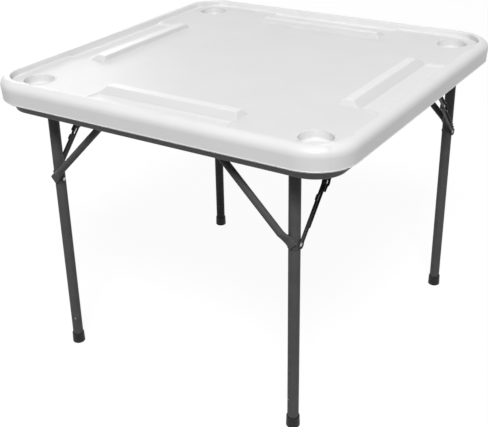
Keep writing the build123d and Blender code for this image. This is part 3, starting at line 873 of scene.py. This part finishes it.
dull_zinc = zinc_plate("dull_zinc", tone=0.5, roughness=0.36)
recess_reach = 0.0046
recess_width = 0.0009
turned_count = 32
dome_steps = 6
dome_share = 0.96


def turned_form(name, outline):
    """A small form turned about Z from its outline of (radius, height), closed at both ends."""
    work = bmesh.new()
    rows = skin(work, [[(x, y, height) for x, y in circle((0.0, 0.0), radius, turned_count)]
                       for radius, height in outline])
    work.faces.new(rows[0])
    work.faces.new(rows[-1])
    return finished_piece(work, name, crease=40.0)


def domed_end(radius, base, rise):
    """The outline of a domed head, from its foot up to a small flat at the middle."""
    turns = [math.pi / 2 * step / dome_steps * dome_share for step in range(dome_steps + 1)]
    return [(radius * math.cos(turn), base + rise * math.sin(turn)) for turn in turns]


def with_cross_recess(form, top, depth):
    """Sinks a cross recess into the top of a turned form."""
    for size_x, size_y in ((recess_width, recess_reach), (recess_reach, recess_width)):
        cutter_mesh = bmesh.new()
        bmesh.ops.create_cube(cutter_mesh, size=1.0, matrix=Matrix.Translation((0, 0, top))
                              @ Matrix.Diagonal((size_x, size_y, 2 * depth, 1.0)))
        shape = bpy.data.meshes.new("recess_cutter")
        cutter_mesh.to_mesh(shape)
        cutter_mesh.free()
        cutter = bpy.data.objects.new("recess_cutter", shape)
        bpy.context.scene.collection.objects.link(cutter)
        cut = form.modifiers.new("recess", "BOOLEAN")
        cut.operation = "DIFFERENCE"
        cut.solver = "EXACT"
        cut.object = cutter
        settle(form, cut)
        bpy.data.objects.remove(cutter)
    return form


def fastener_tree():
    """Sets a form on each place, facing its own way and turned at random about its axis."""
    tree = bpy.data.node_groups.new("fasteners_on_places", "GeometryNodeTree")
    face = tree.interface
    face.new_socket("Places", in_out="INPUT", socket_type="NodeSocketGeometry")
    face.new_socket("Form", in_out="INPUT", socket_type="NodeSocketObject")
    face.new_socket("Size", in_out="INPUT", socket_type="NodeSocketFloat").default_value = 1.0
    face.new_socket("Finish", in_out="INPUT", socket_type="NodeSocketMaterial")
    face.new_socket("Fasteners", in_out="OUTPUT", socket_type="NodeSocketGeometry")
    given = tree.nodes.new("NodeGroupInput")
    made = tree.nodes.new("NodeGroupOutput")
    form = tree.nodes.new("GeometryNodeObjectInfo")
    facing = tree.nodes.new("GeometryNodeInputNamedAttribute")
    facing.data_type = "FLOAT_VECTOR"
    facing.inputs["Name"].default_value = "facing"
    upright = tree.nodes.new("FunctionNodeAlignRotationToVector")
    upright.axis = "Z"
    about = tree.nodes.new("FunctionNodeAxisAngleToRotation")
    about.inputs["Axis"].default_value = (0.0, 0.0, 1.0)
    turned_about = tree.nodes.new("FunctionNodeRotateRotation")
    turned_about.rotation_space = "LOCAL"
    placing = tree.nodes.new("GeometryNodeInstanceOnPoints")
    joined = tree.nodes.new("GeometryNodeRealizeInstances")
    finish_set = tree.nodes.new("GeometryNodeSetMaterial")
    link = tree.links.new
    link(given.outputs["Places"], placing.inputs["Points"])
    link(given.outputs["Form"], form.inputs["Object"])
    link(form.outputs["Geometry"], placing.inputs["Instance"])
    link(given.outputs["Size"], placing.inputs["Scale"])
    link(next(socket for socket in facing.outputs if socket.enabled), upright.inputs["Vector"])
    link(random_value(tree, 0.0, math.tau, seed=7), about.inputs["Angle"])
    link(upright.outputs["Rotation"], turned_about.inputs["Rotation"])
    link(about.outputs["Rotation"], turned_about.inputs["Rotate By"])
    link(turned_about.outputs["Rotation"], placing.inputs["Rotation"])
    link(placing.outputs["Instances"], joined.inputs["Geometry"])
    link(joined.outputs["Geometry"], finish_set.inputs["Geometry"])
    link(given.outputs["Finish"], finish_set.inputs["Material"])
    link(finish_set.outputs["Geometry"], made.inputs["Fasteners"])
    return tree


fasteners_on_places = fastener_tree()


def fasteners(name, form, places, body, finish, replaced):
    """One mesh with a fastener at each (place, facing), riding on one body."""
    shape = bpy.data.meshes.new(name + "_places")
    shape.from_pydata([tuple(place) for place, facing in places], [], [])
    ways = shape.attributes.new("facing", "FLOAT_VECTOR", "POINT")
    for index, (place, facing) in enumerate(places):
        ways.data[index].vector = facing
    piece = bpy.data.objects.new(name, shape)
    bpy.context.scene.collection.objects.link(piece)
    setting = piece.modifiers.new("fasteners", "NODES")
    setting.node_group = fasteners_on_places
    set_inputs(setting, {"Form": form, "Size": 1.0, "Finish": finish})
    settle(piece, setting)
    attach(piece, body)
    if replaced:
        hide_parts(*replaced)
    return piece


screw_radius = 0.0021
screw_head = 0.0041
screw_length = 0.012
screw_pitch = 0.260
pan_band = 0.0008
pan_rise = 0.0014
pan_top = 0.0022
pan_outline = [(screw_radius, -screw_length), (screw_radius, 0.0), (screw_head, 0.0)]
pan_outline += domed_end(screw_head, pan_band, pan_rise)
pan_screw = with_cross_recess(turned_form("pan_screw", pan_outline), pan_top, depth=0.0012)
apron_screw_low, apron_screw_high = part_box("apron_screws")
apron_screw_line = apron_screw_high.x - screw_head
apron_screw_level = apron_screw_low.z + pan_top
below = (0.0, 0.0, -1.0)
apron_places = []
for step in (-1, 0, 1):
    for side in (-1, 1):
        apron_places.append(((side * apron_screw_line, step * screw_pitch, apron_screw_level), below))
        apron_places.append(((step * screw_pitch, side * apron_screw_line, apron_screw_level), below))
fasteners("apron_screw_set", pan_screw, apron_places, "table_top", dull_zinc, ["apron_screws"])

plate_wall = 0.002
flush_depth = 0.002
bracket_screw_gap = 0.012
bracket_screw_back = 0.056
anchor_screw_gap = 0.017
flush_outline = [(screw_radius, -screw_length), (screw_radius, -flush_depth), (screw_head - 0.0002, -0.00015),
                 (screw_head - 0.0003, 0.0), (0.0004, 0.0)]
flush_screw = with_cross_recess(turned_form("flush_screw", flush_outline), 0.0, depth=0.0013)
plate_places = []
for corner in corner_names:
    low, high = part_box(f"{corner}_pivot_bracket")
    side_y = 1.0 if low.y > 0 else -1.0
    plate_level = high.z - plate_wall
    leg_low, leg_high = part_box(f"{corner}_leg_tube")
    leg_x, leg_y = middle_of(leg_low, leg_high)
    for step in (-1, 1):
        place = (leg_x + step * bracket_screw_gap, leg_y - side_y * bracket_screw_back, plate_level)
        plate_places.append((place, below))
    low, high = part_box(f"{corner}_lock_anchor")
    anchor_x, anchor_y = middle_of(low, high)
    for step in (-1, 1):
        plate_places.append(((anchor_x, anchor_y + step * anchor_screw_gap, plate_level), below))
fasteners("plate_screw_set", flush_screw, plate_places, "table_top", dull_zinc,
          ["bracket_screws"])
bpy.data.objects.remove(pan_screw)
bpy.data.objects.remove(flush_screw)

# Rivets: steel pins with domed heads, zinc-plated and dull. One holds each lower link to its leg, one joins
# the two links at the knee, and one holds the upper link to its anchor. Each leg also has a small domed pin
# low on its side.
rivet_radius = 0.003
rivet_head = 0.0046
rivet_rise = 0.0017
rivet_band = 0.0002
knee_collar = 0.0017
plain_end = [(0.0008, 0.0003), (rivet_radius - 0.0004, 0.0), (rivet_radius, 0.0003)]
pin_radius = 0.0017
pin_rise = 0.0008
pin_sink = 0.0006
pin_level = 0.074
pin_turn = math.radians(60)


def rivet_dome(foot):
    """The outline of a rivet's domed head, over a narrow straight band."""
    return domed_end(rivet_head, foot + rivet_band, rivet_rise - rivet_band)


leg_rivet_low, leg_rivet_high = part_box("narrow_right_leg_rivet")
outer_foot = leg_rivet_high.x - leg_rivet_low.x - rivet_rise
leg_rivet_outline = [(radius, max(2 * rivet_rise - height, 0.0)) for radius, height in
                     reversed(rivet_dome(rivet_rise))]
leg_rivet_outline += [(rivet_head, rivet_rise), (rivet_radius, rivet_rise), (rivet_radius, outer_foot),
                      (rivet_head, outer_foot)]
leg_rivet_form = turned_form("leg_rivet_form", leg_rivet_outline + rivet_dome(outer_foot))
knee_low, knee_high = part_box("narrow_right_knee_rivet")
knee_length = knee_high.x - knee_low.x
knee_form = turned_form("knee_form", plain_end + [(rivet_radius, knee_collar), (rivet_head, knee_collar),
                                                  (rivet_head, knee_length)])
head_outline = [(rivet_radius, 0.0), (rivet_radius, knee_collar), (rivet_head, knee_collar)]
head_form = turned_form("head_form", head_outline + rivet_dome(knee_collar))
anchor_low, anchor_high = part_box("narrow_right_anchor_rivet")
anchor_foot = anchor_high.x - anchor_low.x - rivet_rise
anchor_outline = plain_end + [(rivet_radius, anchor_foot), (rivet_head, anchor_foot)]
anchor_form = turned_form("anchor_form", anchor_outline + rivet_dome(anchor_foot))
pin_form = turned_form("pin_form", [(pin_radius, -pin_sink)] + domed_end(pin_radius, 0.0, pin_rise))


def rivet_place(node):
    """The end of a rivet nearest the middle of the table, and the way it points."""
    low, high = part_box(node)
    outward = 1.0 if low.x > 0 else -1.0
    end_x = low.x if outward > 0 else high.x
    return (end_x, (low.y + high.y) / 2, (low.z + high.z) / 2), (outward, 0.0, 0.0)


for kind, body in frame_bodies.items():
    held = [f"{kind}_{hand}_leg_rivet" for hand in ("left", "right")]
    fasteners(f"{kind}_leg_rivets", leg_rivet_form, [rivet_place(node) for node in held], body,
              dull_zinc, held)
for corner in corner_names:
    node = f"{corner}_knee_rivet"
    fasteners(node + "_pin", knee_form, [rivet_place(node)], f"{corner}_lower_strut",
              dull_zinc, [node])
    node = f"{corner}_knee_rivet_head"
    fasteners(node + "_dome", head_form, [rivet_place(node)], f"{corner}_upper_strut",
              dull_zinc, [node])
held = [f"{corner}_anchor_rivet" for corner in corner_names]
fasteners("anchor_rivets", anchor_form, [rivet_place(node) for node in held], "table_top",
          dull_zinc, held)
for kind, body in frame_bodies.items():
    pins = []
    for hand, way in (("left", -1.0), ("right", 1.0)):
        low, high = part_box(f"{kind}_{hand}_leg_tube")
        outward = 1.0 if low.y > 0 else -1.0
        facing = Vector((-way * math.cos(pin_turn), outward * math.sin(pin_turn), 0.0))
        centre = Vector((*middle_of(low, high), pin_level))
        pins.append((centre + facing * tube_radius, facing))
    fasteners(f"{kind}_cap_pins", pin_form, pins, body, dull_zinc, [])
for form in (leg_rivet_form, knee_form, head_form, anchor_form, pin_form):
    bpy.data.objects.remove(form)
